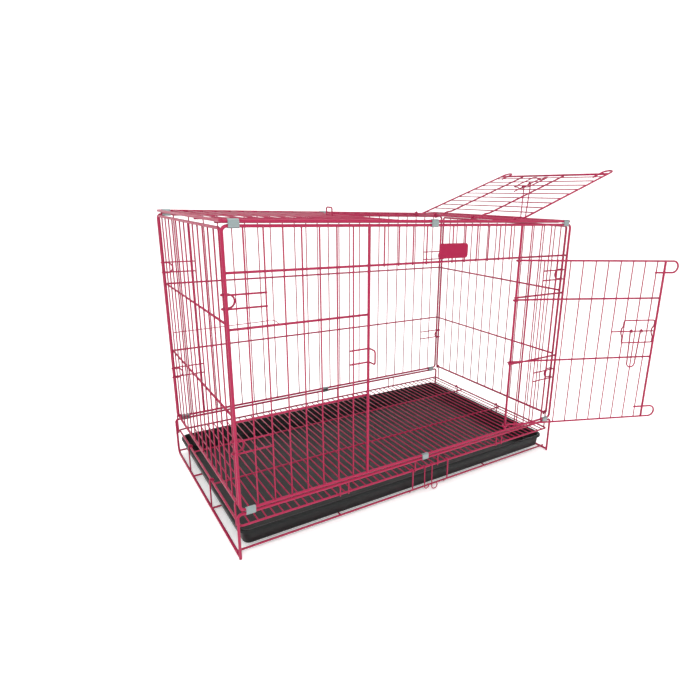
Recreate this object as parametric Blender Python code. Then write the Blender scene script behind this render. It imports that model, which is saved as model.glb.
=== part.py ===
"""Folding wire dog crate with a front door, a lid, fold-in sides and a slide-out tray.

Frame: X runs along the front from left to right, Y from front to back, Z up.
The origin is the end of the front left leg, on the floor.
Lengths are in millimetres here; rod_mesh and the other builders turn them into metres.
"""
import math

import bmesh
import bpy
from mathutils import Vector

MM = 0.001
GAP = 0.3                      # air between two pieces that touch on the real crate

# Wire sizes (radii)
R_FRAME = 2.5                  # outer frames, door jambs, hinge rods
R_JAMB = 2.4
R_BAR = 2.0                    # cross bars of the panels
R_WIRE = 1.25                  # upright infill wires
R_SMALL = 1.5                  # hooks, guides, bolts, supports
FRAME_SIDES = 6
WIRE_SIDES = 5

# Plan of the crate
PITCH = 30.0                   # spacing of the infill wires on the long sides
LONG_STEPS = 25
LEG_TO_POST = 5.0              # the panels stand this far inside the legs
POST_LEFT = LEG_TO_POST
POST_RIGHT = POST_LEFT + PITCH * LONG_STEPS
LEG_RIGHT = POST_RIGHT + LEG_TO_POST
DEPTH = 450.0                  # front panel plane to back panel plane
BAR_OFFSET = R_BAR + R_WIRE + GAP   # cross bars run this far behind the infill wires

# Heights of the base
Z_RUNNER_BACK = R_FRAME * math.cos(math.radians(30))   # its flat lies on the floor
Z_RUNNER_FRONT = 4.0
RUNNER_FLAT_FROM_Y = 395.0
RUNNER_BEND = 14.0
BASE_CORNER = 6.0
Z_LOWER_RAIL = 8.6
R_RACK = 2.0
R_FLOOR_BAR = 1.75
Z_FLOOR = 59.5
Z_FLOOR_WIRE = 60.5
Z_HINGE_RAIL = 84.0

# Heights of the panels
Z_PANEL_BOTTOM = 91.0
Z_PANEL_TOP = 543.5
Z_TOP_PANEL = 550.5
Z_HEADER = 477.5
FRONT_BARS = (393.5, 246.0)
SIDE_BARS = (399.0, 250.0)
Z_SIDE_BOTTOM = 97.0
Z_SIDE_TOP = 540.0
FRAME_CORNER = 8.0

# Side panels, which stand between the front and back panels
SIDE_STEPS = 14
SIDE_INSET = 9.9              # the side posts pass behind the eyes of the front door
SIDE_PITCH = (DEPTH - 2 * SIDE_INSET) / SIDE_STEPS

STRUT_X = (188.5, 206.0, 358.0, 416.0, 583.0, 600.0)

# Floor grid
FLOOR_PITCH = PITCH / 2
FLOOR_INSET = R_FRAME + R_BAR + GAP
FLOOR_BARS_Y = (165.0, 318.0)
FLOOR_FROM_X = FLOOR_INSET
FLOOR_TO_X = LEG_RIGHT - FLOOR_INSET

# Front door
JAMB_LEFT_STEP = 8
JAMB_RIGHT_STEP = 20
DOOR_OPEN_DEG = 157.4
DOOR_WIDTH = 350.0
DOOR_Z = (102.0, 251.0, 388.5, 471.5)
DOOR_STEPS = 11
EYE_RADIUS = R_FRAME + 0.6 + R_BAR   # centre line of a hinge eye, and the offset of the door's plane
CATCH_HEIGHT = 25.5            # height of the U at the door's free corners
DOOR_CATCH_REACH = 33.0
LID_CATCH_REACH = 25.0

# Lid over the top opening
LID_HINGE_STEP = 21
LID_REST_STEP = 10
LID_OPEN_DEG = 159.4
LID_WIDTH = 320.0
LID_Y = (50.0, 183.0, 324.0, 407.0)
LID_STEPS = 10
LID_BORDER_Y = (33.0, DEPTH - 33.0)

# Slide bolt of the door and of the lid
DOOR_GUIDE_FROM_EDGE = (79.0, 0.5)
LID_GUIDE_FROM_EDGE = (80.0, 4.0)
GUIDE_HALF_HEIGHT = 26.0
GUIDE_BULGE = 3.35
BOLT_OFFSET = EYE_RADIUS + 6.4   # the handle's eyes pass over the infill wires
DOOR_BOLT_FROM_EDGE = (107.0, -1.0)
LID_BOLT_FROM_EDGE = (108.0, 4.0)
HANDLE_LENGTH = 87.0
HANDLE_WIDTH = 26.0
DOOR_HANDLE_FROM_EDGE = 42.0   # middle of the handle
LID_HANDLE_FROM_EDGE = 60.0
DOOR_BOLT_Z = 311.5
LID_BOLT_Y = 256.0
KEEPER_Z = (307.0, 332.0)
KEEPER_REACH = 16.0

# Corner hooks that hold the side panels
HOOK_Z = (434.5, 200.5)
HOOK_HALF_HEIGHT = 10.5
HOOK_LENGTH = 64.0

# Sheet clips
CLIP_X = (21.8, 380.0, 738.2)
CLIP_WIDTHS = (16.0, 15.0, 16.0)
CLIP_INNER = R_FRAME + 0.25
CLIP_SHEET = 0.7

# Tray
TRAY_X = (5.5, 754.5)
TRAY_Y = (9.0, 454.0)
TRAY_Z = (10.9, 42.0)
TRAY_SHEET = 2.0
TRAY_SLOPE = 3.0
TRAY_RIM = 5.0

for leftover in list(bpy.data.objects):
    bpy.data.objects.remove(leftover, do_unlink=True)


# ---------------------------------------------------------------- materials
def make_material(name, colour, roughness, metallic):
    material = bpy.data.materials.new(name)
    material.use_nodes = True
    shader = material.node_tree.nodes["Principled BSDF"]
    shader.inputs["Base Color"].default_value = (*colour, 1.0)
    shader.inputs["Roughness"].default_value = roughness
    shader.inputs["Metallic"].default_value = metallic
    return material


PINK = make_material("pink_powder_coat", (0.72, 0.05, 0.20), 0.38, 0.0)
PLATE = make_material("pink_plate", (0.60, 0.03, 0.12), 0.42, 0.0)
ZINC = make_material("zinc_sheet", (0.55, 0.60, 0.60), 0.35, 0.9)
PLASTIC = make_material("black_plastic", (0.012, 0.013, 0.013), 0.45, 0.0)


# ---------------------------------------------------------------- paths
def long_wire_x(step):
    """X of an infill wire of the front, back and top panels."""
    return POST_LEFT + PITCH * step


def arc(centre, radius, from_deg, to_deg, steps, point):
    """Points of an arc; point(u, v) turns plane coordinates into a 3-D point."""
    turn = math.radians(to_deg - from_deg)
    start = math.radians(from_deg)
    angles = [start + turn * i / steps for i in range(steps + 1)]
    return [point(centre[0] + radius * math.cos(a), centre[1] + radius * math.sin(a)) for a in angles]


def rounded(points, radius, steps=3, closed=False):
    """A polyline with each corner replaced by an arc of the given radius."""
    points = [Vector(p) for p in points]
    count = len(points)
    result = []
    for i, corner in enumerate(points):
        if not closed and i in (0, count - 1):
            result.append(corner)
            continue
        to_last = (points[i - 1] - corner).normalized()
        to_next = (points[(i + 1) % count] - corner).normalized()
        half = to_last.angle(to_next) / 2
        back_off = radius / math.tan(half)
        centre = corner + (to_last + to_next).normalized() * radius / math.sin(half)
        first = corner + to_last * back_off - centre
        last = corner + to_next * back_off - centre
        swing = math.pi - 2 * half
        for j in range(steps + 1):
            t = swing * j / steps
            blend = first * math.sin(swing - t) + last * math.sin(t)
            result.append(centre + blend / math.sin(swing))
    return result


# ---------------------------------------------------------------- solids
def add_rod(mesh, path, radius, sides=FRAME_SIDES, closed=False):
    """Sweep a regular polygon along a path and close its ends."""
    path = [Vector(p) * MM for p in path]
    count = len(path)
    tangents = []
    for i in range(count):
        before = path[i] - path[i - 1] if closed or i > 0 else path[1] - path[0]
        after = path[(i + 1) % count] - path[i] if closed or i < count - 1 else before
        tangents.append((before.normalized() + after.normalized()).normalized())
    upright = Vector((0, 0, 1))
    if abs(tangents[0].z) > 0.9:
        upright = Vector((0, 1, 0))
    normal = (upright - tangents[0] * upright.dot(tangents[0])).normalized()
    rings = []
    for i in range(count):
        tangent = tangents[i]
        normal = (normal - tangent * normal.dot(tangent)).normalized()
        side = tangent.cross(normal)
        ring = []
        for k in range(sides):
            a = 2 * math.pi * (k + 0.5) / sides
            offset = normal * math.cos(a) + side * math.sin(a)
            ring.append(mesh.verts.new(path[i] + offset * radius * MM))
        rings.append(ring)
    pairs = [(rings[i], rings[i + 1]) for i in range(count - 1)]
    if closed:
        pairs.append((rings[-1], rings[0]))
    for a, b in pairs:
        for k in range(sides):
            j = (k + 1) % sides
            mesh.faces.new((a[k], a[j], b[j], b[k]))
    if not closed:
        mesh.faces.new(list(reversed(rings[0])))
        mesh.faces.new(rings[-1])


def rod_mesh(name, rods):
    """A mesh with one closed shell for each (path, radius, sides, closed) rod."""
    mesh = bmesh.new()
    for path, radius, sides, closed in rods:
        add_rod(mesh, path, radius, sides, closed)
    bmesh.ops.recalc_face_normals(mesh, faces=mesh.faces)
    data = bpy.data.meshes.new(name)
    mesh.to_mesh(data)
    mesh.free()
    return data


def place(name, data, material, parent=None):
    """An object in the scene with one material, smooth where its faces meet gently."""
    data.materials.clear()
    data.materials.append(material)
    thing = bpy.data.objects.new(name, data)
    bpy.context.scene.collection.objects.link(thing)
    thing.parent = parent
    data.shade_smooth()
    data.set_sharp_from_angle(angle=math.radians(65))
    return thing


def rod(name, path, radius, material=PINK, sides=FRAME_SIDES, closed=False, parent=None):
    """A piece bent from a single wire."""
    return place(name, rod_mesh(name, [(path, radius, sides, closed)]), material, parent)


def welded(name, frame, infill, material=PINK, parent=None):
    """A welded grille: crossing frame rods and infill wires joined into one body."""
    whole = bpy.data.objects.new(name + "_uncut", rod_mesh(name, frame))
    tool = bpy.data.objects.new(name + "_wires", rod_mesh(name + "_wires", infill))
    for thing in (whole, tool):
        bpy.context.scene.collection.objects.link(thing)
    union = whole.modifiers.new("weld", "BOOLEAN")
    union.operation = "UNION"
    union.solver = "EXACT"
    union.use_self = True
    union.object = tool
    graph = bpy.context.evaluated_depsgraph_get()
    data = bpy.data.meshes.new_from_object(whole.evaluated_get(graph))
    data.name = name
    bpy.data.objects.remove(whole, do_unlink=True)
    bpy.data.objects.remove(tool, do_unlink=True)
    return place(name, data, material, parent)


def hinge_empty(name, location, rotation):
    """An empty on a joint's axis, turned to the pose that the crate is shown in."""
    empty = bpy.data.objects.new(name, None)
    bpy.context.scene.collection.objects.link(empty)
    empty.location = Vector(location) * MM
    empty.rotation_euler = rotation
    return empty


def frame_rod(path, radius=R_FRAME, closed=False):
    return (path, radius, FRAME_SIDES, closed)


def wire_rod(path):
    return (path, R_WIRE, WIRE_SIDES, False)


# ---------------------------------------------------------------- base
def base_end_frame(name, path, y, inward):
    """Hinge rail and its legs in one bent wire, with short struts down to the floor's edge."""
    strut_y = y + inward
    strut_foot = Z_FLOOR - 2.5
    struts = []
    for x in STRUT_X:
        struts.append(wire_rod([(x, strut_y, Z_HINGE_RAIL), (x, strut_y, strut_foot)]))
    welded(name, [frame_rod(path)], struts)


def floor_support(name, edge_point, foot_point, turn):
    """Wire stay: an eye over a floor edge wire, and a leg down to the base.

    edge_point(u, v) maps u, outward from the crate's middle, and v, up from the edge wire.
    """
    eye = arc((0, 0), R_BAR + GAP + R_SMALL, turn[0], turn[1], 6, edge_point)
    rod(name, eye + foot_point, R_SMALL)


def build_base():
    front = [(0, 0, 0), (0, 0, Z_HINGE_RAIL), (LEG_RIGHT, 0, Z_HINGE_RAIL), (LEG_RIGHT, 0, 0)]
    base_end_frame("base_front_frame", rounded(front, BASE_CORNER), 0.0, 1.0)

    # the back legs bend forward into the two runners
    runner_end = R_FRAME + GAP + 0.1

    def leg_and_runner(x):
        floor_line = [(x, runner_end, Z_RUNNER_FRONT), (x, RUNNER_FLAT_FROM_Y, Z_RUNNER_BACK)]
        heel = arc((DEPTH - RUNNER_BEND, Z_RUNNER_BACK + RUNNER_BEND), RUNNER_BEND, -90.0, 0.0, 5,
                   lambda u, v: (x, u, v))
        return floor_line + heel

    rail = [(0, DEPTH, 40.0), (0, DEPTH, Z_HINGE_RAIL), (LEG_RIGHT, DEPTH, Z_HINGE_RAIL),
            (LEG_RIGHT, DEPTH, 40.0)]
    bent = rounded(rail, BASE_CORNER)[1:-1]
    back = leg_and_runner(0.0) + bent + list(reversed(leg_and_runner(LEG_RIGHT)))
    base_end_frame("base_back_frame", back, DEPTH, -1.0)
    overhang = 3.0
    rail_y = 14.0
    rail = [(-overhang, rail_y, Z_LOWER_RAIL), (LEG_RIGHT + overhang, rail_y, Z_LOWER_RAIL)]
    rod("front_lower_rail", rail, R_BAR)

    cross = []
    butt = R_FRAME + GAP + 0.1
    for y, x in ((165.0, -overhang), (307.0, -overhang), (445.2, butt)):
        ends = [(x, y, Z_LOWER_RAIL), (LEG_RIGHT - x, y, Z_LOWER_RAIL)]
        cross.append((ends, R_RACK, FRAME_SIDES, False))
    z_long = Z_LOWER_RAIL - R_RACK - R_SMALL + 1.0
    lengthways = []
    for x in (197.0, 568.0):
        ends = [(x, rail_y + R_BAR + 0.6, z_long), (x, 446.5, z_long)]
        lengthways.append((ends, R_SMALL, FRAME_SIDES, False))
    welded("tray_rack", cross, lengthways)

    corners = [(FLOOR_FROM_X, FLOOR_INSET), (FLOOR_TO_X, FLOOR_INSET),
               (FLOOR_TO_X, DEPTH - FLOOR_INSET), (FLOOR_FROM_X, DEPTH - FLOOR_INSET)]
    edge = rounded([(x, y, Z_FLOOR) for x, y in corners], 5.0, 2, closed=True)
    z_bar = Z_FLOOR_WIRE - R_WIRE - GAP - R_FLOOR_BAR
    bars = [([(FLOOR_FROM_X, y, z_bar), (FLOOR_TO_X, y, z_bar)], R_FLOOR_BAR, FRAME_SIDES, False)
            for y in FLOOR_BARS_Y]
    wires = []
    for step in range(1, 2 * LONG_STEPS):
        x = POST_LEFT + FLOOR_PITCH * step
        wires.append(wire_rod([(x, FLOOR_INSET, Z_FLOOR_WIRE), (x, DEPTH - FLOOR_INSET, Z_FLOOR_WIRE)]))
    welded("floor_grid", [(edge, R_BAR, FRAME_SIDES, True)] + bars, wires)

    for side, x in (("left", 353.3), ("right", 443.3)):
        def front_point(u, v, x=x):
            return (x, FLOOR_INSET - u, Z_FLOOR + v)
        foot_y = rail_y - R_BAR - R_SMALL - GAP
        leg = [(x, FLOOR_INSET - 3.8, 19.0), (x, foot_y, 11.0), (x, foot_y, 7.0)]
        floor_support("floor_support_front_" + side, front_point, leg, (200.0, 0.0))
    for side, edge_x, outward in (("left", FLOOR_FROM_X, -1.0), ("right", FLOOR_TO_X, 1.0)):
        for place_name, y in (("front", 178.0), ("back", 344.0)):
            def side_point(u, v, y=y, edge_x=edge_x, outward=outward):
                return (edge_x + outward * u, y, Z_FLOOR + v)
            leg = [(edge_x + outward * 3.8, y, 6.6)]
            name = "floor_support_" + side + "_" + place_name
            floor_support(name, side_point, leg, (200.0, 0.0))


def build_side_hinges():
    """Four wire loops on the floor's edge wires that hold the side panels' bottom bars."""
    eye = R_FRAME + GAP + 0.05 + R_SMALL
    for side, bar_x, outward in (("left", POST_LEFT, -1.0), ("right", POST_RIGHT, 1.0)):
        for place_name, y in (("front", 14.5), ("back", DEPTH - 14.5)):
            def loop_point(u, v, y=y, bar_x=bar_x, outward=outward):
                return (bar_x + outward * u, y, Z_SIDE_BOTTOM + v)
            stem = [(bar_x + outward * eye, y, Z_FLOOR - 3.0)]
            loop = arc((0, 0), eye, 0.0, 250.0, 7, loop_point)
            rod("side_hinge_loop_" + side + "_" + place_name, stem + loop, R_SMALL)


def build_tray_hooks():
    """Two wires hung by an eye on the floor's front edge wire, each with a curled finger end."""
    radius = 1.1
    eye = R_BAR + GAP + 0.1 + radius
    leg_y = FLOOR_INSET - eye
    curls = (("left", 383.2, 5.2, 17.0), ("right", 402.0, 7.0, 12.5))
    for side, x, curl_radius, curl_z in curls:
        def edge_point(u, v):
            return (x, FLOOR_INSET - u, Z_FLOOR + v)

        def curl_point(u, v):
            return (u, leg_y - 1.5, v)
        loop = arc((0, 0), eye, 215.0, 0.0, 7, edge_point)
        curl = arc((x + curl_radius, curl_z), curl_radius, 180.0, 420.0, 8, curl_point)
        pivot_at = Vector((x, FLOOR_INSET, Z_FLOOR))
        pivot = hinge_empty("tray_hook_" + side + "_axis", pivot_at, (0, 0, 0))
        local = [Vector(p) - pivot_at for p in loop + [(x, leg_y, curl_z + 12.0)] + curl]
        rod("tray_hook_" + side, local, radius, sides=WIRE_SIDES, parent=pivot)


def build_tray():
    """Rimmed plastic tray: a shell with sloped walls, round corners and a turned-down rim."""
    z_low, z_high = TRAY_Z
    # outline insets from the rim's edge, with heights: outside going down, then inside going up
    profile = [
        (0.0, z_high - 5.0), (TRAY_SHEET, z_high - 5.0), (TRAY_SHEET, z_high - TRAY_SHEET),
        (TRAY_RIM, z_high - TRAY_SHEET), (TRAY_RIM + TRAY_SLOPE, z_low),
    ]
    inner = [
        (TRAY_RIM + TRAY_SLOPE + TRAY_SHEET, z_low + TRAY_SHEET), (TRAY_RIM + TRAY_SHEET, z_high),
        (0.0, z_high),
    ]
    corner_radius = 20.0
    corner_steps = 5

    def outline(inset):
        x0, x1 = TRAY_X[0] + inset, TRAY_X[1] - inset
        y0, y1 = TRAY_Y[0] + inset, TRAY_Y[1] - inset
        r = corner_radius - inset
        loop = []
        for cx, cy, start in ((x1 - r, y1 - r, 0), (x0 + r, y1 - r, 90),
                              (x0 + r, y0 + r, 180), (x1 - r, y0 + r, 270)):
            loop += arc((cx, cy), r, start, start + 90, corner_steps, lambda u, v: (u, v))
        return loop

    mesh = bmesh.new()
    loops = []
    for inset, z in profile + inner:
        loops.append([mesh.verts.new(Vector((u, v, z)) * MM) for u, v in outline(inset)])
    bottom = len(profile) - 1
    count = len(loops[0])
    for i in range(len(loops)):
        if i == bottom:
            continue
        a, b = loops[i], loops[(i + 1) % len(loops)]
        for k in range(count):
            j = (k + 1) % count
            mesh.faces.new((a[k], a[j], b[j], b[k]))
    mesh.faces.new(loops[bottom])
    mesh.faces.new(loops[bottom + 1])
    bmesh.ops.recalc_face_normals(mesh, faces=mesh.faces)
    data = bpy.data.meshes.new("tray")
    mesh.to_mesh(data)
    mesh.free()
    place("tray", data, PLASTIC)


# ---------------------------------------------------------------- panels
def panel_loop(y):
    corners = [(POST_LEFT, y, Z_PANEL_BOTTOM), (POST_RIGHT, y, Z_PANEL_BOTTOM),
               (POST_RIGHT, y, Z_PANEL_TOP), (POST_LEFT, y, Z_PANEL_TOP)]
    return frame_rod(rounded(corners, FRAME_CORNER, 3, closed=True), closed=True)


def cross_bar(x0, x1, y, z):
    return ([(x0, y, z), (x1, y, z)], R_BAR, FRAME_SIDES, False)


def build_front_panel():
    jamb_left, jamb_right = long_wire_x(JAMB_LEFT_STEP), long_wire_x(JAMB_RIGHT_STEP)
    frame = [panel_loop(0.0)]
    for x in (jamb_left, jamb_right):
        frame.append(frame_rod([(x, 0, Z_PANEL_BOTTOM), (x, 0, Z_PANEL_TOP)], R_JAMB))
    bars = [cross_bar(POST_LEFT, POST_RIGHT, BAR_OFFSET, Z_HEADER)]
    for z in FRONT_BARS:
        bars.append(cross_bar(POST_LEFT, jamb_left, BAR_OFFSET, z))
        bars.append(cross_bar(jamb_right, POST_RIGHT, BAR_OFFSET, z))
    wires = []
    for step in range(1, LONG_STEPS):
        if step in (JAMB_LEFT_STEP, JAMB_RIGHT_STEP):
            continue
        over_door = JAMB_LEFT_STEP < step < JAMB_RIGHT_STEP
        z_low = Z_HEADER - R_BAR if over_door else Z_PANEL_BOTTOM
        x = long_wire_x(step)
        y = 1.0 if over_door else 0.0
        wires.append(wire_rod([(x, y, z_low), (x, y, Z_PANEL_TOP)]))
    welded("front_panel", frame, bars + wires)

    # blank plate over the door
    thickness = 1.0
    y0, y1 = -R_WIRE - GAP - thickness, -R_WIRE - GAP
    outline = []
    for cx, cz, r, start in ((454.5, 505.0, 6.0, 0), (393.5, 509.5, 1.5, 90),
                             (393.5, 485.0, 1.5, 180), (454.5, 489.5, 6.0, 270)):
        outline += arc((cx, cz), r, start, start + 90, 4, lambda u, v: (u, v))
    mesh = bmesh.new()
    faces = [[mesh.verts.new(Vector((x, y, z)) * MM) for x, z in outline] for y in (y0, y1)]
    count = len(outline)
    for k in range(count):
        j = (k + 1) % count
        mesh.faces.new((faces[0][k], faces[0][j], faces[1][j], faces[1][k]))
    mesh.faces.new(faces[0])
    mesh.faces.new(faces[1])
    bmesh.ops.recalc_face_normals(mesh, faces=mesh.faces)
    data = bpy.data.meshes.new("name_plate")
    mesh.to_mesh(data)
    mesh.free()
    place("name_plate", data, PLATE)

    # keeper for the door's bolt: legs behind the wires, and a U that stands out past the jamb
    leg_y = R_JAMB + R_SMALL + GAP
    turn_x = jamb_left + R_JAMB + R_SMALL + 0.35
    start_x = long_wire_x(JAMB_LEFT_STEP - 1) - 5.0
    z0, z1 = KEEPER_Z
    tip_y = -KEEPER_REACH
    keeper = rounded([(start_x, leg_y, z1), (turn_x, leg_y, z1), (turn_x, tip_y, z1),
                      (turn_x, tip_y, z0), (turn_x, leg_y, z0), (start_x, leg_y, z0)], 3.5, 2)
    rod("latch_keeper", keeper, R_SMALL)


def build_back_panel():
    y = DEPTH
    bars = [cross_bar(POST_LEFT, POST_RIGHT, y - BAR_OFFSET, z) for z in SIDE_BARS]
    wires = []
    for step in range(1, LONG_STEPS):
        x = long_wire_x(step)
        wires.append(wire_rod([(x, y, Z_PANEL_BOTTOM), (x, y, Z_PANEL_TOP)]))
    welded("back_panel", [panel_loop(y)], bars + wires)

    hook_y = y - 2.7
    hook = [(12.0, hook_y, 290.0), (218.0, hook_y, 293.5), (236.0, hook_y, 296.0),
            (250.0, hook_y, 291.0), (259.0, hook_y, 280.0)]
    rod("rear_hook_wire", hook, 1.0, sides=WIRE_SIDES)


def build_corner_hooks():
    """U wires wrapped round the side panels' posts: a C in plan, open to the inside."""
    wrap = R_FRAME + GAP + 0.05 + R_SMALL
    near_y = SIDE_INSET - wrap
    for face, y_face, inward in (("front", 0.0, 1.0), ("back", DEPTH, -1.0)):
        for side, post_x, along in (("left", POST_LEFT, 1.0), ("right", POST_RIGHT, -1.0)):
            for level, z_mid in zip(("upper", "lower"), HOOK_Z):
                def plan(u, v, z):
                    return (post_x + along * u, y_face + inward * v, z)
                z_top, z_low = z_mid + HOOK_HALF_HEIGHT, z_mid - HOOK_HALF_HEIGHT
                top = [plan(HOOK_LENGTH, near_y, z_top)]
                top += arc((0, SIDE_INSET), wrap, 270.0, 90.0, 5, lambda u, v: plan(u, v, z_top))
                far_y = SIDE_INSET + wrap
                bend = arc((6.0, z_mid), HOOK_HALF_HEIGHT, 90.0, -90.0, 5, lambda u, v: plan(u, far_y, v))
                low = arc((0, SIDE_INSET), wrap, 90.0, 270.0, 5, lambda u, v: plan(u, v, z_low))
                low.append(plan(HOOK_LENGTH, near_y, z_low))
                name = "corner_hook_" + face + "_" + side + "_" + level
                rod(name, top + bend + low, R_SMALL, sides=WIRE_SIDES)


def build_top_panel():
    z = Z_TOP_PANEL
    corners = [(POST_LEFT, 0, z), (POST_RIGHT, 0, z), (POST_RIGHT, DEPTH, z), (POST_LEFT, DEPTH, z)]
    frame = [frame_rod(rounded(corners, FRAME_CORNER, 3, closed=True), closed=True)]
    hinge_x, rest_x = long_wire_x(LID_HINGE_STEP), long_wire_x(LID_REST_STEP)
    for x in (hinge_x, rest_x):
        frame.append(frame_rod([(x, 0, z), (x, DEPTH, z)], R_JAMB))
    z_bar = z - BAR_OFFSET
    bars = [cross_bar(POST_LEFT, POST_RIGHT, y, z_bar) for y in LID_BORDER_Y]
    for y in (DEPTH / 3, 2 * DEPTH / 3):
        bars.append(cross_bar(POST_LEFT, rest_x, y, z_bar))
    wires = []
    stub = LID_BORDER_Y[0] + R_BAR
    for step in range(1, LONG_STEPS):
        x = long_wire_x(step)
        if step in (LID_HINGE_STEP, LID_REST_STEP):
            continue
        if LID_REST_STEP < step < LID_HINGE_STEP:
            wires.append(wire_rod([(x, 0, z), (x, stub, z)]))
            wires.append(wire_rod([(x, DEPTH - stub, z), (x, DEPTH, z)]))
        else:
            wires.append(wire_rod([(x, 0, z), (x, DEPTH, z)]))
    welded("top_panel", frame, bars + wires)

    leg_z = z - R_JAMB - R_SMALL - GAP
    turn_x = rest_x - R_JAMB - R_SMALL - 0.35
    tip_z = z + KEEPER_REACH
    y0, y1 = LID_BOLT_Y - 12.5, LID_BOLT_Y + 12.5
    keeper = rounded([(turn_x - 40.0, y0, leg_z), (turn_x, y0, leg_z), (turn_x, y0, tip_z),
                      (turn_x, y1, tip_z), (turn_x, y1, leg_z), (turn_x - 40.0, y1, leg_z)], 3.5, 2)
    rod("lid_keeper", keeper, R_SMALL)


def build_clips():
    """Sheet-metal clips, each wrapped round two stacked frame rods, with a seam inside."""
    half = (Z_TOP_PANEL - Z_PANEL_TOP) / 2
    outer = CLIP_INNER + CLIP_SHEET
    levels = (("top", (Z_TOP_PANEL + Z_PANEL_TOP) / 2), ("bottom", (Z_PANEL_BOTTOM + Z_HINGE_RAIL) / 2))
    for level, z_mid in levels:
        for face, y_face, inward in (("front", 0.0, 1.0), ("back", DEPTH, -1.0)):
            for where, x, width in zip(("left", "middle", "right"), CLIP_X, CLIP_WIDTHS):
                def ring(radius):
                    seam = 0.6
                    upper = arc((0, half), radius, 0.0, 180.0, 6, lambda u, v: (u, v))
                    lower = arc((0, -half), radius, 180.0, 360.0, 6, lambda u, v: (u, v))
                    return [(radius, seam)] + upper + lower + [(radius, -seam)]
                outline = ring(outer) + list(reversed(ring(CLIP_INNER)))
                mesh = bmesh.new()
                sides = []
                for px in (x - width / 2, x + width / 2):
                    points = [Vector((px, y_face + inward * u, z_mid + v)) * MM for u, v in outline]
                    sides.append([mesh.verts.new(p) for p in points])
                count = len(outline)
                for k in range(count):
                    j = (k + 1) % count
                    mesh.faces.new((sides[0][k], sides[0][j], sides[1][j], sides[1][k]))
                for k in range(count // 2 - 1):
                    j = count - 1 - k
                    mesh.faces.new((sides[0][k], sides[0][k + 1], sides[0][j - 1], sides[0][j]))
                    mesh.faces.new((sides[1][j], sides[1][j - 1], sides[1][k + 1], sides[1][k]))
                bmesh.ops.recalc_face_normals(mesh, faces=mesh.faces)
                name = "clip_" + level + "_" + face + "_" + where
                data = bpy.data.meshes.new(name)
                mesh.to_mesh(data)
                mesh.free()
                place(name, data, ZINC)


def build_side_panel(name, bar_x, inward):
    """A side panel that folds in about its own bottom bar."""
    y0, y1 = SIDE_INSET, DEPTH - SIDE_INSET
    height = Z_SIDE_TOP - Z_SIDE_BOTTOM
    axis = hinge_empty(name + "_axis", (bar_x, DEPTH / 2, Z_SIDE_BOTTOM), (0, 0, 0))
    y_mid = DEPTH / 2
    corners = [(0, y0 - y_mid, 0), (0, y1 - y_mid, 0), (0, y1 - y_mid, height), (0, y0 - y_mid, height)]
    frame = [frame_rod(rounded(corners, 5.0, 3, closed=True), closed=True)]
    bars = []
    for z in SIDE_BARS:
        x = inward * BAR_OFFSET
        ends = [(x, y0 - y_mid, z - Z_SIDE_BOTTOM), (x, y1 - y_mid, z - Z_SIDE_BOTTOM)]
        bars.append((ends, R_BAR, FRAME_SIDES, False))
    wires = []
    for step in range(1, SIDE_STEPS):
        y = y0 + SIDE_PITCH * step - y_mid
        wires.append(wire_rod([(0, y, 0), (0, y, height)]))
    welded(name, frame, bars + wires, parent=axis)


# ---------------------------------------------------------------- door and lid
def swing_leaf(name, parent, point, arms, width, reach, steps):
    """A swinging leaf of wires.

    point(s, n, t) maps s, away from the hinge, n, outward, and t, along the hinge.
    arms lists the arms' places along the hinge; the outer two end in U catches.
    """
    inner_to_outer = (arms[0], arms[-1])
    frame = []
    for index, t in enumerate(arms):
        def eye_point(s, n, t=t):
            return point(s, n, t)
        eye = arc((0, 0), EYE_RADIUS, -45.0, -270.0, 7, eye_point)
        if index in (0, len(arms) - 1):
            back = 1.0 if index == 0 else -1.0
            half = CATCH_HEIGHT / 2
            turn_s = width + reach - half
            bend = arc((turn_s, t + back * half), half, -90.0 * back, 90.0 * back, 5,
                       lambda s, v: point(s, EYE_RADIUS, v))
            tail = [point(width - 23.0, EYE_RADIUS, t + back * CATCH_HEIGHT)]
            path = eye + bend + tail
        else:
            far = EYE_RADIUS + BAR_OFFSET
            path = eye + [point(40.0, EYE_RADIUS, t), point(50.0, far, t), point(width, far, t)]
        frame.append((path, R_BAR, FRAME_SIDES, False))
    edge = [point(width, EYE_RADIUS, t) for t in inner_to_outer]
    wires = [(edge, R_FRAME, FRAME_SIDES, False)]
    for step in range(1, steps + 1):
        s = PITCH * step
        wires.append(wire_rod([point(s, EYE_RADIUS, t) for t in inner_to_outer]))
    welded(name, frame, wires, parent=parent)


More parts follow.
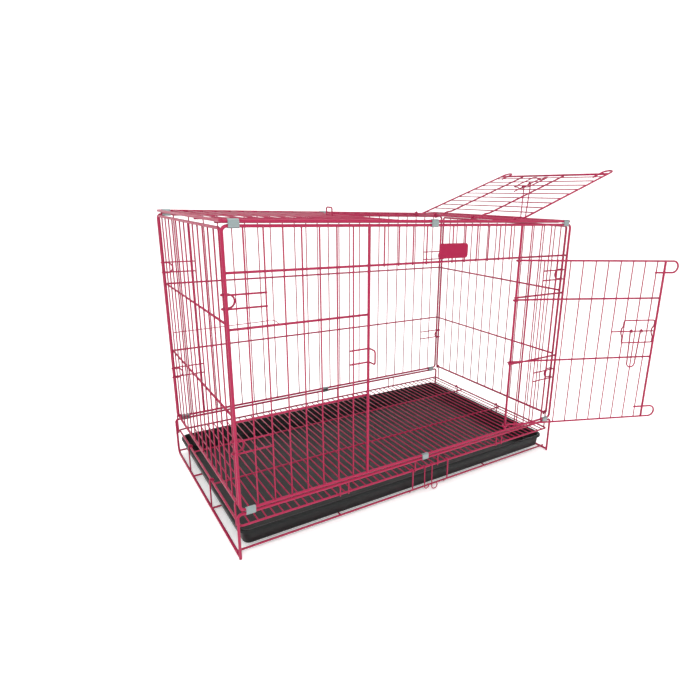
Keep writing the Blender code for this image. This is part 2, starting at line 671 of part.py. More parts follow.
def slide_bolt(prefix, parent, point, t_bolt, guide_s, bolt_s, handle_s, handle_point, lean, droop):
    """The guide, bolt and lift handle on a leaf.

    guide_s and bolt_s are where each starts and ends, away from the hinge; handle_s is the
    handle's middle. handle_point(s, out, down) maps the handle's plane. lean and droop are
    how far it leans along s and towards the leaf for each unit of its length.
    """
    s_far, s_near = guide_s
    n_guide = EYE_RADIUS + R_FRAME + R_SMALL + GAP
    n_bulge = BOLT_OFFSET + GUIDE_BULGE
    low, high = t_bolt - GUIDE_HALF_HEIGHT, t_bolt + GUIDE_HALF_HEIGHT

    def upright(s, t_from, t_to):
        rise = 1.0 if t_to > t_from else -1.0
        return [(s, n_guide, t_from), (s, n_guide, t_bolt - rise * 12), (s, n_bulge, t_bolt - rise * 5),
                (s, n_bulge, t_bolt + rise * 5), (s, n_guide, t_bolt + rise * 12), (s, n_guide, t_to)]

    outline = upright(s_far, low, high) + upright(s_near, high, low)
    rod(prefix + "_bolt_guide", [point(*p) for p in outline], R_SMALL, closed=True, parent=parent)

    origin = Vector(point(bolt_s[1], BOLT_OFFSET, t_bolt))
    slide = hinge_empty(prefix + "_bolt_axis", origin, (0, 0, 0))
    slide.parent = parent
    ends = [point(s, BOLT_OFFSET, t_bolt) for s in bolt_s]
    rod(prefix + "_bolt", [Vector(p) - origin for p in ends], R_SMALL, parent=slide)

    eye = R_SMALL + 0.35 + R_SMALL
    half = HANDLE_WIDTH / 2
    bend_radius = half - 3.0
    straight = HANDLE_LENGTH - bend_radius

    def leg(side):
        """From the free end of the eye round the bolt and down to the bend."""
        s = handle_s + side * half
        turn = arc((0, 0), eye, 215.0, 0.0, 6, lambda u, v: handle_point(s, u, -v))
        knee = handle_s + side * bend_radius + lean * straight
        return turn + [handle_point(knee, eye - droop * straight, straight)]

    bottom = arc((handle_s, straight), bend_radius, 180.0, 0.0, 5,
                 lambda s, v: handle_point(s + lean * v, eye - droop * v, v))
    path = leg(-1)[:-1] + bottom + list(reversed(leg(1)))[1:]
    local = [Vector(p) - origin for p in path]
    rod(prefix + "_bolt_handle", local, R_SMALL, sides=WIRE_SIDES, parent=slide)


def build_door():
    hinge_x = long_wire_x(JAMB_RIGHT_STEP)
    axis = hinge_empty("front_door_axis", (hinge_x, 0, 0), (0, 0, math.radians(DOOR_OPEN_DEG)))

    def point(s, n, t):
        return (-s, -n, t)

    def hanging(s, out, down):
        return point(s, BOLT_OFFSET + out, DOOR_BOLT_Z - down)

    guide_s = [DOOR_WIDTH - e for e in DOOR_GUIDE_FROM_EDGE]
    bolt_s = [DOOR_WIDTH - e for e in DOOR_BOLT_FROM_EDGE]
    handle_s = DOOR_WIDTH - DOOR_HANDLE_FROM_EDGE
    swing_leaf("front_door", axis, point, DOOR_Z, DOOR_WIDTH, DOOR_CATCH_REACH, DOOR_STEPS)
    slide_bolt("door", axis, point, DOOR_BOLT_Z, guide_s, bolt_s, handle_s, hanging, 0.0, 0.0)


def build_lid():
    hinge_x = long_wire_x(LID_HINGE_STEP)
    turned = (0, math.radians(LID_OPEN_DEG), 0)
    axis = hinge_empty("lid_axis", (hinge_x, 0, Z_TOP_PANEL), turned)

    def point(s, n, t):
        return (-s, t, n)

    def hanging(s, out, down):
        return point(s, BOLT_OFFSET + down, LID_BOLT_Y - out)

    plumb = -math.tan(math.radians(180.0 - LID_OPEN_DEG))
    guide_s = [LID_WIDTH - e for e in LID_GUIDE_FROM_EDGE]
    bolt_s = [LID_WIDTH - e for e in LID_BOLT_FROM_EDGE]
    handle_s = LID_WIDTH - LID_HANDLE_FROM_EDGE
    swing_leaf("lid", axis, point, LID_Y, LID_WIDTH, LID_CATCH_REACH, LID_STEPS)
    slide_bolt("lid", axis, point, LID_BOLT_Y, guide_s, bolt_s, handle_s, hanging, plumb, 0.07)


build_base()
build_side_hinges()
build_tray()
build_tray_hooks()
build_front_panel()
build_back_panel()
build_corner_hooks()
build_top_panel()
build_clips()
build_side_panel("left_panel", POST_LEFT, 1.0)
build_side_panel("right_panel", POST_RIGHT, -1.0)
build_door()
build_lid()
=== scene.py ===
"""Fine wires, finishes, floor, light and camera for the folding wire dog crate."""
import math

import bmesh
import bpy
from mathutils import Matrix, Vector


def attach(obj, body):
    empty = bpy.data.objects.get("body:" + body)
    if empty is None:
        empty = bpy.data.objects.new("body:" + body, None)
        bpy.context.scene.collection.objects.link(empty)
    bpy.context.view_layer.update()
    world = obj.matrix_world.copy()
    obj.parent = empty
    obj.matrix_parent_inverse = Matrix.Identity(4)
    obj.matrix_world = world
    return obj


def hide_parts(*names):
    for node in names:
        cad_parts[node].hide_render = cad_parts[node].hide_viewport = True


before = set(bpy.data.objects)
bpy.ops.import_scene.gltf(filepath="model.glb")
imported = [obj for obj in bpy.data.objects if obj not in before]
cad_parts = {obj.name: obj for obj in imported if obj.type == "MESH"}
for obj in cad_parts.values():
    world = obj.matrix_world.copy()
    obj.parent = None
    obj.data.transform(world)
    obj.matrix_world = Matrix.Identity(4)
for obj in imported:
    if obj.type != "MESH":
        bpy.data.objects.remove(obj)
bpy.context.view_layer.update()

MM = 0.001

# Wire radii, in millimetres
R_FRAME = 2.5
R_BAR = 2.0
R_WIRE = 1.25
R_SMALL = 1.5
SINK = 0.35                    # how far crossing wires sink into each other at a weld
WELDED = R_BAR + R_WIRE - SINK

# Plan of the crate: X along the front, Y to the back
PITCH = 30.0                   # spacing of the infill wires in the long panels
LONG_STEPS = 25
LEG_TO_POST = 5.0
POST_LEFT = LEG_TO_POST
POST_RIGHT = POST_LEFT + PITCH * LONG_STEPS
LEG_RIGHT = POST_RIGHT + LEG_TO_POST
DEPTH = 450.0
SIDE_INSET = 9.9               # the end panels stand this far inside the front and back
SIDE_STEPS = 14
SIDE_PITCH = (DEPTH - 2 * SIDE_INSET) / SIDE_STEPS
FLOOR_INSET = 4.8
JAMB_LEFT, JAMB_RIGHT = POST_LEFT + 8 * PITCH, POST_LEFT + 20 * PITCH
LID_REST, LID_HINGE = POST_LEFT + 10 * PITCH, POST_LEFT + 21 * PITCH
BORDER_Y = (33.0, DEPTH - 33.0)

# Heights
Z_FLOOR, Z_FLOOR_WIRE = 59.5, 60.7
Z_HINGE_RAIL, Z_PANEL_BOTTOM, Z_PANEL_TOP, Z_TOP = 84.0, 91.0, 543.5, 550.5
Z_HEADER = 477.5
FRONT_BARS = (393.5, 246.0)
SIDE_BARS = (399.0, 250.0)
Z_SIDE_BOTTOM, Z_SIDE_TOP = 97.0, 540.0

# Base
STRUT_X = (188.5, 206.0, 358.0, 416.0, 583.0, 600.0)
Z_RACK, RACK_OVERHANG = 8.2, 3.0
HEEL_RADIUS, RUNNER_FLAT_FROM_Y = 14.0, 395.0

# Door and lid, open as they rest
DOOR_OPEN_DEG, LID_OPEN_DEG = 157.4, 159.4
EYE_RADIUS = 5.1
BOLT_OFFSET = 11.5             # bolts run this far off the hinge plane
KEEPER_REACH = 16.0            # how far a bolt keeper stands out from its panel
HANDLE_LENGTH = 87.0


# ---------------------------------------------------------------- paths
def arc(centre, radius, from_deg, to_deg, steps, point):
    """Points of an arc; point(u, v) turns plane coordinates into a 3-D point."""
    angles = [math.radians(from_deg + (to_deg - from_deg) * i / steps) for i in range(steps + 1)]
    return [point(centre[0] + radius * math.cos(a), centre[1] + radius * math.sin(a)) for a in angles]


def rounded(points, radius, steps=8, closed=False):
    """A polyline with each corner replaced by an arc, as wide as its legs allow."""
    points = [Vector(p) for p in points]
    count = len(points)
    result = []
    for i, corner in enumerate(points):
        if not closed and i in (0, count - 1):
            result.append(corner)
            continue
        last, following = points[i - 1] - corner, points[(i + 1) % count] - corner
        half = last.angle(following) / 2
        if half > math.radians(88):
            result.append(corner)
            continue
        reach = min(radius / math.tan(half), last.length * 0.49, following.length * 0.49)
        r = reach * math.tan(half)
        centre = corner + (last.normalized() + following.normalized()).normalized() * r / math.sin(half)
        first = corner + last.normalized() * reach - centre
        final = corner + following.normalized() * reach - centre
        swing = math.pi - 2 * half
        for j in range(steps + 1):
            t = swing * j / steps
            result.append(centre + (first * math.sin(swing - t) + final * math.sin(t)) / math.sin(swing))
    return result


def smooth(points, steps=6):
    """A softly bent polyline through the same ends: corner cutting on every bend."""
    return rounded(points, 40.0, steps)


# ---------------------------------------------------------------- pieces
def wires(node, body, rods, material):
    """Round wires standing for one CAD node; rods lists (points, radius, closed)."""
    curve = bpy.data.curves.new(node + "_wires", "CURVE")
    curve.dimensions = "3D"
    curve.bevel_depth = MM
    curve.bevel_resolution = 3
    curve.use_fill_caps = True
    for points, radius, closed in rods:
        path = [Vector(p) for p in points]
        radii = [radius] * len(path)
        if not closed:
            cap = 0.3 * radius
            start, end = (path[1] - path[0]).normalized(), (path[-2] - path[-1]).normalized()
            path = [path[0], path[0] + start * cap] + path[1:-1] + [path[-1] + end * cap, path[-1]]
            radii = [radius - cap] + radii + [radius - cap]
        spline = curve.splines.new("POLY")
        spline.points.add(len(path) - 1)
        for spot, place, r in zip(spline.points, path, radii):
            spot.co = (*(place * MM), 1.0)
            spot.radius = r
        spline.use_cyclic_u = closed
        spline.use_smooth = True
    curve.materials.append(material)
    thing = bpy.data.objects.new(node + "_wires", curve)
    bpy.context.scene.collection.objects.link(thing)
    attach(thing, body)
    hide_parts(node)
    return thing


def heavy(points, closed=False):
    return (points, R_FRAME, closed)


def bar(a, b, radius=R_BAR):
    return ([a, b], radius, False)


# ---------------------------------------------------------------- materials
def material(name, colour, roughness, metallic=0.0, mottle=0.06, grain=900.0, bump=0.05, specular=0.5):
    """A procedural finish: slight colour and gloss variation, and a fine surface grain."""
    made = bpy.data.materials.new(name)
    made.use_nodes = True
    nodes, links = made.node_tree.nodes, made.node_tree.links
    shader = nodes["Principled BSDF"]
    place = nodes.new("ShaderNodeTexCoord")
    broad = nodes.new("ShaderNodeTexNoise")
    broad.inputs["Scale"].default_value = 35.0
    broad.inputs["Detail"].default_value = 4.0
    links.new(place.outputs["Object"], broad.inputs["Vector"])
    tint = nodes.new("ShaderNodeMix")
    tint.data_type = "RGBA"
    tint.inputs["A"].default_value = (*[c * (1 - mottle) for c in colour], 1)
    tint.inputs["B"].default_value = (*[min(1.0, c * (1 + mottle)) for c in colour], 1)
    links.new(broad.outputs["Fac"], tint.inputs["Factor"])
    links.new(tint.outputs["Result"], shader.inputs["Base Color"])
    gloss = nodes.new("ShaderNodeMapRange")
    gloss.inputs["To Min"].default_value = roughness - 0.06
    gloss.inputs["To Max"].default_value = roughness + 0.06
    links.new(broad.outputs["Fac"], gloss.inputs["Value"])
    links.new(gloss.outputs["Result"], shader.inputs["Roughness"])
    fine = nodes.new("ShaderNodeTexNoise")
    fine.inputs["Scale"].default_value = grain
    fine.inputs["Detail"].default_value = 2.0
    links.new(place.outputs["Object"], fine.inputs["Vector"])
    relief = nodes.new("ShaderNodeBump")
    relief.inputs["Strength"].default_value = bump
    relief.inputs["Distance"].default_value = 0.0004
    links.new(fine.outputs["Fac"], relief.inputs["Height"])
    links.new(relief.outputs["Normal"], shader.inputs["Normal"])
    shader.inputs["Metallic"].default_value = metallic
    shader.inputs["Specular IOR Level"].default_value = specular
    return made


PINK = material("pink_powder_coat", (0.32, 0.007, 0.052), 0.40, specular=0.3)
PLATE = material("pink_plate", (0.29, 0.004, 0.042), 0.5, bump=0.03, specular=0.2)
ZINC = material("zinc_sheet", (0.25, 0.30, 0.30), 0.38, metallic=0.85, mottle=0.14, grain=500.0)
BLACK = material("black_plastic", (0.004, 0.005, 0.005), 0.40, mottle=0.2, grain=1600.0, bump=0.12,
                 specular=0.22)


# ---------------------------------------------------------------- base
def build_base():
    """Front and back leg frames, the lower front rail and the rack under the tray."""
    front = rounded([(0, 0, 0), (0, 0, Z_HINGE_RAIL), (LEG_RIGHT, 0, Z_HINGE_RAIL), (LEG_RIGHT, 0, 0)], 6.0)

    def leg_and_runner(x):
        heel = arc((DEPTH - HEEL_RADIUS, HEEL_RADIUS + 2.3), HEEL_RADIUS, -90, 0, 12, lambda u, v: (x, u, v))
        return [(x, 1.5, 4.2), (x, RUNNER_FLAT_FROM_Y, 2.4)] + heel

    rail = rounded([(0, DEPTH, 40), (0, DEPTH, Z_HINGE_RAIL), (LEG_RIGHT, DEPTH, Z_HINGE_RAIL),
                    (LEG_RIGHT, DEPTH, 40)], 6.0)[1:-1]
    back = leg_and_runner(0.0) + rail + list(reversed(leg_and_runner(LEG_RIGHT)))
    for name, path, y, inward in (("base_front_frame", front, 0.0, 1.0),
                                  ("base_back_frame", back, DEPTH, -1.0)):
        rods = [heavy(path)]
        for x in STRUT_X:
            at = y + inward * 1.3
            rods.append(([(x, at, Z_HINGE_RAIL + 1.5), (x, at, Z_FLOOR - 2.5)], R_WIRE, False))
        wires(name, "crate", rods, PINK)

    def rack_bar(x, y):
        return bar((x, y, Z_RACK), (LEG_RIGHT - x, y, Z_RACK))

    wires("front_lower_rail", "crate", [rack_bar(-RACK_OVERHANG, 14)], PINK)
    rack = [rack_bar(-RACK_OVERHANG, 165.0), rack_bar(-RACK_OVERHANG, 307.0), rack_bar(1.5, 445.2)]
    rack += [bar((x, 15.5, 6.2), (x, 446.5, 6.2), R_SMALL) for x in (197.0, 568.0)]
    wires("tray_rack", "crate", rack, PINK)


def build_floor():
    """The raised floor grid and the stays that hold it up."""
    x0, x1 = FLOOR_INSET, LEG_RIGHT - FLOOR_INSET
    y0, y1 = FLOOR_INSET, DEPTH - FLOOR_INSET
    corners = [(x0, y0, Z_FLOOR), (x1, y0, Z_FLOOR), (x1, y1, Z_FLOOR), (x0, y1, Z_FLOOR)]
    grid = [(rounded(corners, 5.0, 6, True), R_BAR, True)]
    z_bar = Z_FLOOR_WIRE - R_WIRE - 1.75 + SINK
    grid += [bar((x0, y, z_bar), (x1, y, z_bar), 1.75) for y in (165.0, 318.0)]
    for step in range(1, 2 * LONG_STEPS):
        x = POST_LEFT + PITCH / 2 * step
        grid.append(([(x, y0 - 1.2, Z_FLOOR_WIRE), (x, y1 + 1.2, Z_FLOOR_WIRE)], R_WIRE, False))
    wires("floor_grid", "crate", grid, PINK)

    def stay(name, at, foot):
        eye = arc((0, 0), 3.6, 215.0, 0.0, 14, at)
        wires(name, "crate", [(eye + foot, R_SMALL, False)], PINK)

    for side, x in (("left", 353.3), ("right", 443.3)):
        stay("floor_support_front_" + side, lambda u, v, x=x: (x, y0 - u, Z_FLOOR + v),
             [(x, 1.1, 21.0), (x, 2.2, 17.8), (x, 9.4, 12.4), (x, 10.5, 10.0), (x, 10.5, 7.0)])
    for side, edge, out in (("left", x0, -1.0), ("right", x1, 1.0)):
        for where, y in (("front", 178.0), ("back", 344.0)):
            stay("floor_support_" + side + "_" + where,
                 lambda u, v, y=y, edge=edge, out=out: (edge + out * u, y, Z_FLOOR + v),
                 [(edge + out * 3.7, y, 5.0)])


def build_side_hinges():
    """Loops beside the floor's corners that the end panels turn in."""
    for side, post, out in (("left", POST_LEFT, -1.0), ("right", POST_RIGHT, 1.0)):
        for where, y in (("front", 14.5), ("back", DEPTH - 14.5)):
            loop = arc((0, 0), 4.2, 0.0, 265.0, 16,
                       lambda u, v: (post + out * u, y, Z_SIDE_BOTTOM + v))
            stem = [(post + out * 3.9, y, Z_FLOOR - 3.0), (post + out * 4.1, y, Z_FLOOR + 12.0)]
            wires("side_hinge_loop_" + side + "_" + where, "crate", [(stem + loop, R_SMALL, False)], PINK)


def build_tray_hooks():
    """Two thin wires that swing on the floor's front edge wire and end in a curl."""
    leg_y = FLOOR_INSET - 3.5
    for side, x, r, z in (("left", 383.2, 5.2, 17.0), ("right", 402.0, 7.0, 12.5)):
        loop = arc((0, 0), 3.4, 235.0, 0.0, 14, lambda u, v: (x, FLOOR_INSET - u, Z_FLOOR + v))
        curl = arc((x + r, z), r, 180.0, 425.0, 20, lambda u, v: (u, leg_y - 1.5, v))
        path = loop + [(x, leg_y, z + 20.0), (x, leg_y - 1.2, z + 6.0)] + curl
        wires("tray_hook_" + side, "tray_hook_" + side, [(path, 1.15, False)], PINK)


def build_tray():
    """The tray, with a rolled rim lip and softened edges, from rounded-rectangle rings."""
    x0, x1, y0, y1, low, high = 5.5, 754.5, 9.0, 454.0, 10.9, 42.0
    profile = [(0.0, high - 5.0), (0.0, high - 1.4), (0.5, high - 0.4), (1.4, high), (4.2, high),
               (5.6, high - 0.5), (6.4, high - 1.8), (9.0, low + 6.0), (11.0, low + 3.0), (14.5, low + 2.0)]
    under = [(12.5, low), (10.0, low + 0.8), (8.0, low + 3.0), (5.2, high - 2.4), (4.6, high - 2.0),
             (1.9, high - 2.0), (1.8, high - 5.0)]

    def outline(inset):
        r = 20.0 - inset
        ring = []
        for cx, cy, start in ((x1 - inset - r, y1 - inset - r, 0), (x0 + inset + r, y1 - inset - r, 90),
                              (x0 + inset + r, y0 + inset + r, 180), (x1 - inset - r, y0 + inset + r, 270)):
            ring += arc((cx, cy), r, start, start + 90, 12, lambda u, v: (u, v))
        return ring

    mesh = bmesh.new()
    rings = [[mesh.verts.new(Vector((u, v, z)) * MM) for u, v in outline(inset)]
             for inset, z in profile + under]
    inside = len(profile) - 1
    for i in range(len(rings)):
        if i == inside:
            continue
        a, b = rings[i], rings[(i + 1) % len(rings)]
        for k in range(len(a)):
            j = (k + 1) % len(a)
            mesh.faces.new((a[k], a[j], b[j], b[k]))
    mesh.faces.new(rings[inside])
    mesh.faces.new(rings[inside + 1])
    bmesh.ops.recalc_face_normals(mesh, faces=mesh.faces)
    data = bpy.data.meshes.new("tray_shell")
    mesh.to_mesh(data)
    mesh.free()
    data.shade_smooth()
    data.set_sharp_from_angle(angle=math.radians(50))
    data.materials.append(BLACK)
    thing = bpy.data.objects.new("tray_shell", data)
    bpy.context.scene.collection.objects.link(thing)
    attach(thing, "tray")
    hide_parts("tray")


# ---------------------------------------------------------------- panels
def panel_loop(y):
    corners = [(POST_LEFT, y, Z_PANEL_BOTTOM), (POST_RIGHT, y, Z_PANEL_BOTTOM),
               (POST_RIGHT, y, Z_PANEL_TOP), (POST_LEFT, y, Z_PANEL_TOP)]
    return heavy(rounded(corners, 8.0, closed=True), True)


def build_panels():
    rods = [panel_loop(0.0)]
    rods += [heavy([(x, 0, Z_PANEL_BOTTOM), (x, 0, Z_PANEL_TOP)]) for x in (JAMB_LEFT, JAMB_RIGHT)]
    rods.append(bar((POST_LEFT, WELDED, Z_HEADER), (POST_RIGHT, WELDED, Z_HEADER)))
    for z in FRONT_BARS:
        rods.append(bar((POST_LEFT, WELDED, z), (JAMB_LEFT + 1.5, WELDED, z)))
        rods.append(bar((JAMB_RIGHT - 1.5, WELDED, z), (POST_RIGHT, WELDED, z)))
    for step in range(1, LONG_STEPS):
        x = POST_LEFT + PITCH * step
        if x in (JAMB_LEFT, JAMB_RIGHT):
            continue
        z = Z_HEADER - 3.0 if JAMB_LEFT < x < JAMB_RIGHT else Z_PANEL_BOTTOM - 1.0
        rods.append(([(x, 0, z), (x, 0, Z_PANEL_TOP + 1.0)], R_WIRE, False))
    wires("front_panel", "crate", rods, PINK)

    rods = [panel_loop(DEPTH)]
    rods += [bar((POST_LEFT, DEPTH - WELDED, z), (POST_RIGHT, DEPTH - WELDED, z)) for z in SIDE_BARS]
    for step in range(1, LONG_STEPS):
        x = POST_LEFT + PITCH * step
        rods.append(([(x, DEPTH, Z_PANEL_BOTTOM - 1.0), (x, DEPTH, Z_PANEL_TOP + 1.0)], R_WIRE, False))
    wires("back_panel", "crate", rods, PINK)
    y = DEPTH - 2.4
    hook = [(12, y, 290), (218, y, 293.5), (236, y, 296), (250, y, 291), (259, y, 280)]
    wires("rear_hook_wire", "crate", [(smooth(hook), 1.0, False)], PINK)

    z_near, z_far = Z_SIDE_BOTTOM, Z_SIDE_TOP
    y0, y1 = SIDE_INSET, DEPTH - SIDE_INSET
    for name, x, inward in (("left_panel", POST_LEFT, 1.0), ("right_panel", POST_RIGHT, -1.0)):
        corners = [(x, y0, z_near), (x, y1, z_near), (x, y1, z_far), (x, y0, z_far)]
        rods = [heavy(rounded(corners, 5.0, 6, True), True)]
        at = x + inward * WELDED
        rods += [bar((at, y0 - 1.5, z), (at, y1 + 1.5, z)) for z in SIDE_BARS]
        for step in range(1, SIDE_STEPS):
            y = y0 + SIDE_PITCH * step
            rods.append(([(x, y, z_near - 1.0), (x, y, z_far + 1.0)], R_WIRE, False))
        wires(name, name, rods, PINK)

    turn_x, low, high = JAMB_LEFT + 4.15, 307, 332
    keeper = [(210, 4.1, high), (turn_x, 4.1, high), (turn_x, -KEEPER_REACH, high),
              (turn_x, -KEEPER_REACH, low), (turn_x, 4.1, low), (210, 4.1, low)]
    wires("latch_keeper", "crate", [(rounded(keeper, 4.5), R_SMALL, False)], PINK)


def build_hooks():
    wrap = 4.2
    for face, y_face, inward in (("front", 0.0, 1.0), ("back", DEPTH, -1.0)):
        for side, post, along in (("left", POST_LEFT, 1.0), ("right", POST_RIGHT, -1.0)):
            for level, z in (("upper", 434.5), ("lower", 200.5)):
                def plan(u, v, height):
                    return (post + along * u, y_face + inward * v, height)
                path = [plan(64.0, SIDE_INSET - wrap, z + 10.5)]
                path += arc((0, SIDE_INSET), wrap, 270, 90, 12, lambda u, v: plan(u, v, z + 10.5))
                path += arc((6.0, z), 10.5, 90, -90, 14, lambda u, v: plan(u, SIDE_INSET + wrap, v))
                path += arc((0, SIDE_INSET), wrap, 90, 270, 12, lambda u, v: plan(u, v, z - 10.5))
                path.append(plan(64.0, SIDE_INSET - wrap, z - 10.5))
                wires("corner_hook_" + face + "_" + side + "_" + level, "crate",
                      [(path, R_SMALL, False)], PINK)


def build_top():
    z = Z_TOP
    corners = [(POST_LEFT, 0, z), (POST_RIGHT, 0, z), (POST_RIGHT, DEPTH, z), (POST_LEFT, DEPTH, z)]
    rods = [heavy(rounded(corners, 8.0, closed=True), True)]
    rods += [heavy([(x, 0, z), (x, DEPTH, z)]) for x in (LID_HINGE, LID_REST)]
    under = z - WELDED
    rods += [bar((POST_LEFT, y, under), (POST_RIGHT, y, under)) for y in BORDER_Y]
    rods += [bar((POST_LEFT, y, under), (LID_REST + 1.5, y, under)) for y in (DEPTH / 3, 2 * DEPTH / 3)]
    for step in range(1, LONG_STEPS):
        x = POST_LEFT + PITCH * step
        if x in (LID_HINGE, LID_REST):
            continue
        if LID_REST < x < LID_HINGE:
            spans = ((-1.0, BORDER_Y[0] + 3.0), (BORDER_Y[1] - 3.0, DEPTH + 1.0))
        else:
            spans = ((-1.0, DEPTH + 1.0),)
        rods += [([(x, a, z), (x, b, z)], R_WIRE, False) for a, b in spans]
    wires("top_panel", "crate", rods, PINK)
    turn_x = LID_REST - 4.15
    y0, y1, low, tip = 243.5, 268.5, z - 4.1, z + KEEPER_REACH
    keeper = [(turn_x - 40, y0, low), (turn_x, y0, low), (turn_x, y0, tip),
              (turn_x, y1, tip), (turn_x, y1, low), (turn_x - 40, y1, low)]
    wires("lid_keeper", "crate", [(rounded(keeper, 4.5), R_SMALL, False)], PINK)


# ---------------------------------------------------------------- door and lid
def build_leaf(name, point, arms, width, reach, count):
    """A hinged grille. point(s, n, t) is s out from the hinge, n off the face and t along the hinge."""
    rods = []
    for index, t in enumerate(arms):
        eye = arc((0, 0), EYE_RADIUS - 0.3, -45, -270, 16, lambda s, n: point(s, n, t))
        if index in (0, len(arms) - 1):
            back = 1.0 if index == 0 else -1.0
            bend = arc((width + reach - 12.75, t + back * 12.75), 12.75, -90 * back, 90 * back, 14,
                       lambda s, v: point(s, EYE_RADIUS, v))
            path = eye + [point(20, EYE_RADIUS, t)] + bend + [point(width - 23, EYE_RADIUS, t + back * 25.5)]
        else:
            far = EYE_RADIUS + WELDED
            jog = rounded([point(20, EYE_RADIUS, t), point(38, EYE_RADIUS, t), point(52, far, t),
                           point(width + 1.5, far, t)], 12.0)
            path = eye + jog
        rods.append((path, R_BAR, False))
    near, far = arms[0], arms[-1]
    rods.append(heavy([point(width, EYE_RADIUS, near - 1), point(width, EYE_RADIUS, far + 1)]))
    for step in range(1, count + 1):
        ends = [point(PITCH * step, EYE_RADIUS, near - 1), point(PITCH * step, EYE_RADIUS, far + 1)]
        rods.append((ends, R_WIRE, False))
    wires(name, name, rods, PINK)


def build_bolt(name, prefix, point, t_bolt, guide, bolt):
    """The wire guide on a leaf, and the bolt that slides in it."""
    flat, bulge = EYE_RADIUS + R_FRAME + R_SMALL - SINK, BOLT_OFFSET + 3.2

    def upright(s, rise):
        steps = ((-26, flat), (-13, flat), (-5, bulge), (5, bulge), (13, flat), (26, flat))
        return [point(s, n, t_bolt + rise * t) for t, n in steps]

    outline = upright(guide[0], 1) + upright(guide[1], -1)
    wires(prefix + "_bolt_guide", name, [(rounded(outline, 4.0, 6, True), R_SMALL, True)], PINK)
    rod_path = [point(s, BOLT_OFFSET, t_bolt) for s in bolt]
    wires(prefix + "_bolt", prefix + "_bolt", [(rod_path, R_SMALL, False)], PINK)


def build_handle(prefix, hang, grip, lean, droop):
    """A swinging U on the bolt. hang(s, u, v) is s along the bolt, u off it and v down from it."""
    eye, half, bend_radius = 3.2, 13.0, 10.0
    straight = HANDLE_LENGTH - bend_radius

    def leg(side):
        s = grip + side * half
        return arc((0, 0), eye, 235, 0, 14, lambda u, v: hang(s, u, -v))

    bottom = arc((grip, straight), bend_radius, 180, 0, 16,
                 lambda s, v: hang(s + lean * v, eye - droop * v, v))
    path = leg(-1) + bottom + list(reversed(leg(1)))
    wires(prefix + "_bolt_handle", prefix + "_handle", [(path, R_SMALL, False)], PINK)


def build_door_and_lid():
    opened = math.radians(DOOR_OPEN_DEG)
    along = Vector((-math.cos(opened), -math.sin(opened), 0))
    outward = Vector((math.sin(opened), -math.cos(opened), 0))
    hinge = Vector((JAMB_RIGHT, 0, 0))

    def door(s, n, t):
        return hinge + along * s + outward * n + Vector((0, 0, t))

    bolt_z = 311.5
    build_leaf("front_door", door, (102.0, 251.0, 388.5, 471.5), width=350.0, reach=33.0, count=11)
    build_bolt("front_door", "door", door, bolt_z, guide=(271.0, 349.5), bolt=(243.0, 351.0))
    build_handle("door", lambda s, u, v: door(s, BOLT_OFFSET + u, bolt_z - v),
                 grip=308.0, lean=0.0, droop=0.0)

    raised = math.radians(LID_OPEN_DEG)
    along_lid = Vector((-math.cos(raised), 0, math.sin(raised)))
    outward_lid = Vector((math.sin(raised), 0, math.cos(raised)))
    hinge_lid = Vector((LID_HINGE, 0, Z_TOP))

    def lid(s, n, t):
        return hinge_lid + along_lid * s + outward_lid * n + Vector((0, t, 0))

    bolt_y = 256.0
    build_leaf("lid", lid, (50.0, 183.0, 324.0, 407.0), width=320.0, reach=25.0, count=10)
    build_bolt("lid", "lid", lid, bolt_y, guide=(240.0, 316.0), bolt=(212.0, 316.0))
    plumb = -math.tan(math.radians(180.0 - LID_OPEN_DEG))
    build_handle("lid", lambda s, u, v: lid(s, BOLT_OFFSET + v, bolt_y - u),
                 grip=260.0, lean=plumb, droop=0.07)


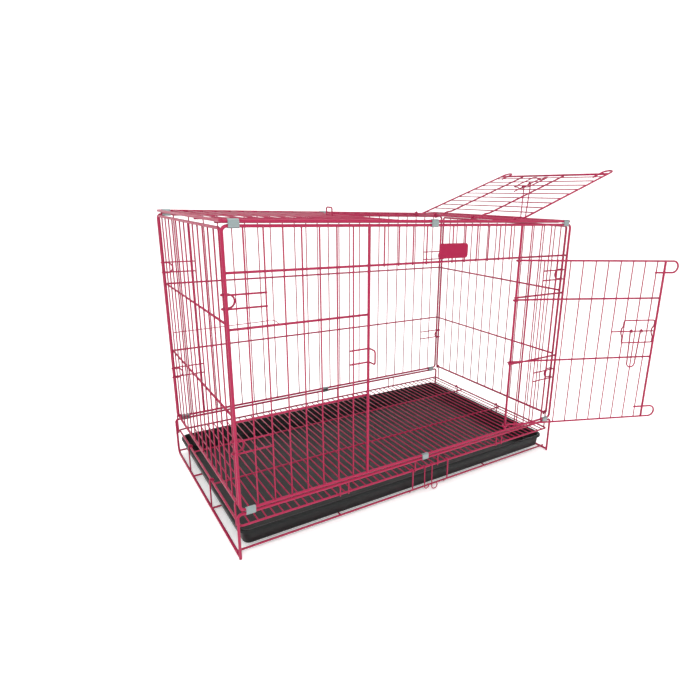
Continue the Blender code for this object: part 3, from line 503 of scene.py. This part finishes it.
# ---------------------------------------------------------------- studio
def build_stage():
    """A pale floor that sweeps up into a round wall, soft lights and the camera."""
    profile = [(0.0, 0.0), (3.2, 0.0)]
    profile += arc((3.2, 1.4), 1.4, -90, 0, 12, lambda u, v: (u, v))[1:] + [(4.6, 3.5)]
    mesh = bmesh.new()
    turns = 64
    middle = Vector((0.38, 0.22, 0))
    centre = mesh.verts.new(middle)
    rings = []
    for r, z in profile[1:]:
        rings.append([mesh.verts.new(middle + Vector((r * math.cos(2 * math.pi * k / turns),
                                                      r * math.sin(2 * math.pi * k / turns), z)))
                      for k in range(turns)])
    for k in range(turns):
        j = (k + 1) % turns
        mesh.faces.new((centre, rings[0][k], rings[0][j]))
        for a, b in zip(rings, rings[1:]):
            mesh.faces.new((a[k], b[k], b[j], a[j]))
    data = bpy.data.meshes.new("studio_floor")
    mesh.to_mesh(data)
    mesh.free()
    data.shade_smooth()
    pale = bpy.data.materials.new("studio_white")
    pale.use_nodes = True
    shader = pale.node_tree.nodes["Principled BSDF"]
    shader.inputs["Base Color"].default_value = (0.97, 0.97, 0.97, 1)
    shader.inputs["Roughness"].default_value = 0.9
    shader.inputs["Emission Color"].default_value = (1, 1, 1, 1)
    shader.inputs["Emission Strength"].default_value = 0.30
    data.materials.append(pale)
    floor = bpy.data.objects.new("studio_floor", data)
    bpy.context.scene.collection.objects.link(floor)

    def light(name, place, target, size, power):
        lamp = bpy.data.lights.new(name, "AREA")
        lamp.size = size
        lamp.energy = power
        thing = bpy.data.objects.new(name, lamp)
        thing.location = place
        thing.rotation_euler = (Vector(target) - Vector(place)).to_track_quat("-Z", "Y").to_euler()
        bpy.context.scene.collection.objects.link(thing)

    light("key_light", (-0.6, -1.9, 2.6), (0.38, 0.2, 0.2), 2.0, 52)
    light("top_light", (0.6, 0.8, 3.0), (0.38, 0.3, 0.0), 2.4, 42)
    world = bpy.data.worlds.new("studio_world")
    world.use_nodes = True
    world.node_tree.nodes["Background"].inputs["Color"].default_value = (1, 1, 1, 1)
    world.node_tree.nodes["Background"].inputs["Strength"].default_value = 0.4
    bpy.context.scene.world = world
    bpy.context.scene.view_settings.view_transform = "Standard"

    lens = bpy.data.cameras.new("camera")
    lens.sensor_width = 36.0
    lens.lens = 26.804
    lens.shift_x = -0.0771
    lens.shift_y = 0.0024
    lens.clip_start = 0.02
    camera = bpy.data.objects.new("camera", lens)
    camera.location = (-0.20850, -0.75591, 0.58483)
    camera.rotation_euler = [math.radians(a) for a in (73.7911, -1.5736, -34.5730)]
    bpy.context.scene.collection.objects.link(camera)
    bpy.context.scene.camera = camera


build_base()
build_floor()
build_side_hinges()
build_tray_hooks()
build_tray()
build_panels()
build_hooks()
build_top()
build_door_and_lid()
for name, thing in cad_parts.items():
    if name.startswith("clip_") or name == "name_plate":
        thing.data.materials.clear()
        thing.data.materials.append(PLATE if name == "name_plate" else ZINC)
build_stage()
